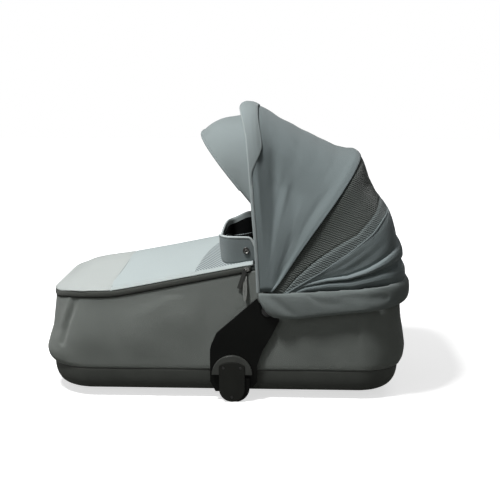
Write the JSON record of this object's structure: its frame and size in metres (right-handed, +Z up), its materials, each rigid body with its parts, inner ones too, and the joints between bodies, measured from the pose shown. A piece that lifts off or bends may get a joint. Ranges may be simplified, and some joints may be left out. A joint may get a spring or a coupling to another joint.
{
  "type": "carrycot",
  "caption": "Carrycot: soft-sided tub on a moulded tray, zipped apron with a wind collar, folding hood with a sun visor, click-on side connectors.",
  "frame": {"origin": "on the floor, under the middle of the carrycot's bounding box", "axes": "+X towards the head end, +Y towards the left-hand side seen from the foot end looking to the hood, +Z up"},
  "size_m": [0.8499, 0.4418, 0.6682],
  "materials": {
    "hood_cloth": "matt woven, blue-grey",
    "hem_cloth": "matt woven, lighter grey",
    "mesh_cloth": "knitted mesh, dark grey",
    "apron_cloth": "matt woven, pale grey",
    "tub_cloth": "matt woven, dark grey",
    "valance_cloth": "soft padded cloth, dark grey",
    "lining_cloth": "plain black lining",
    "mattress_cloth": "off-white cotton cover",
    "black_plastic": "fine-grained black moulding",
    "cover_plastic": "smooth black moulding",
    "tray_plastic": "dark grey moulding",
    "frame_alloy": "plain drawn tube",
    "spring_steel": "bright wire and bolts",
    "dark_steel": "dark plated",
    "pad_rubber": "matt black"
  },
  "bodies": {
    "carrycot": {"apron": "apron_cloth", "base_tray": "tray_plastic", "connector_cover_left": "cover_plastic", "connector_cover_right": "cover_plastic", "connector_housing_left": "black_plastic", "connector_housing_right": "black_plastic", "cover_screw_front_left": "dark_steel", "cover_screw_front_right": "dark_steel", "cover_screw_low_left": "dark_steel", "cover_screw_low_right": "dark_steel", "cover_screw_rear_left": "dark_steel", "cover_screw_rear_right": "dark_steel", "end_stay_foot": "spring_steel", "end_stay_head": "spring_steel", "floor_board": "tray_plastic", "foot_pad_foot_left": "pad_rubber", "foot_pad_foot_right": "pad_rubber", "foot_pad_head_left": "pad_rubber", "foot_pad_head_right": "pad_rubber", "foot_rail_foot": "black_plastic", "foot_rail_head": "black_plastic", "hood_hinge_pin_left": "dark_steel", "hood_hinge_pin_right": "dark_steel", "inner_liner": "lining_cloth", "latch_spring_left": "spring_steel", "latch_spring_right": "spring_steel", "mattress": "mattress_cloth", "press_stud_left": "dark_steel", "press_stud_right": "dark_steel", "rim_frame": "frame_alloy", "side_arm_left": "black_plastic", "side_arm_right": "black_plastic", "side_fabric": "tub_cloth", "valance": "valance_cloth", "wind_collar": "hem_cloth", "zip_tape": "lining_cloth"},
    "hood_rear": {"rib_rear": "black_plastic", "hood_panel_rear": "hood_cloth"},
    "hood_middle": {"rib_middle": "black_plastic", "hood_panel_mesh": "mesh_cloth"},
    "hood_front": {"rib_front": "black_plastic", "hood_front_hem": "hem_cloth", "hood_panel_front": "hood_cloth"},
    "visor": {"visor_wire": "spring_steel", "visor_cloth": "hem_cloth"},
    "zip_slider": {"zip_slider": "dark_steel"},
    "zip_pull": {"zip_pull": "dark_steel", "pull_ribbon": "hood_cloth"},
    "release_button_left": {"release_button_left": "cover_plastic"},
    "release_button_right": {"release_button_right": "cover_plastic"},
    "latch_bolt_left": {"latch_bolt_left": "spring_steel"},
    "latch_bolt_right": {"latch_bolt_right": "spring_steel"}
  },
  "joints": [
    {"name": "hood_fold", "type": "hinge", "parent": "carrycot", "child": "hood_rear", "pos_m": [0.1, 0, 0.213], "axis": [0, 1, 0], "range_deg": [0, 15], "deforming": ["hood_panel_rear"]},
    {"name": "middle_rib_fold", "type": "hinge", "parent": "hood_rear", "child": "hood_middle", "pos_m": [0.1, 0, 0.213], "axis": [0, 1, 0], "range_deg": [0, 14], "deforming": ["hood_panel_mesh"]},
    {"name": "front_rib_fold", "type": "hinge", "parent": "hood_middle", "child": "hood_front", "pos_m": [0.1, 0, 0.213], "axis": [0, 1, 0], "range_deg": [0, 30], "deforming": ["hood_panel_front"]},
    {"name": "visor_flip", "type": "hinge", "parent": "hood_front", "child": "visor", "pos_m": [0.0779, 0, 0.4344], "axis": [0, 1, 0], "range_deg": [0, 30], "deforming": ["visor_cloth"]},
    {"name": "zip_run", "type": "slide", "parent": "carrycot", "child": "zip_slider", "axis": [-0.9806, 0, -0.1961], "range_m": [0, 0.27]},
    {"name": "zip_pull_swing", "type": "hinge", "parent": "zip_slider", "child": "zip_pull", "pos_m": [0.052, -0.1973, 0.3048], "axis": [0, 1, 0], "range_deg": [-8, 60]},
    {"name": "release_left", "type": "slide", "parent": "carrycot", "child": "release_button_left", "axis": [0, 0, 1], "range_m": [0, 0.006], "stiffness_N_per_m": 400, "springref_m": -0.003},
    {"name": "release_right", "type": "slide", "parent": "carrycot", "child": "release_button_right", "axis": [0, 0, 1], "range_m": [0, 0.006], "stiffness_N_per_m": 400, "springref_m": -0.003},
    {"name": "latch_left", "type": "slide", "parent": "carrycot", "child": "latch_bolt_left", "axis": [1, 0, 0], "range_m": [0, 0.0045], "deforming": ["latch_spring_left"]},
    {"name": "latch_right", "type": "slide", "parent": "carrycot", "child": "latch_bolt_right", "axis": [1, 0, 0], "range_m": [0, 0.0045], "deforming": ["latch_spring_right"]}
  ],
  "couplings": [
    {"joint": "middle_rib_fold", "follows": "hood_fold", "ratio": 0.93333},
    {"joint": "front_rib_fold", "follows": "hood_fold", "ratio": 2},
    {"joint": "latch_left", "follows": "release_left", "ratio": 0.75},
    {"joint": "latch_right", "follows": "release_right", "ratio": 0.75}
  ]
}
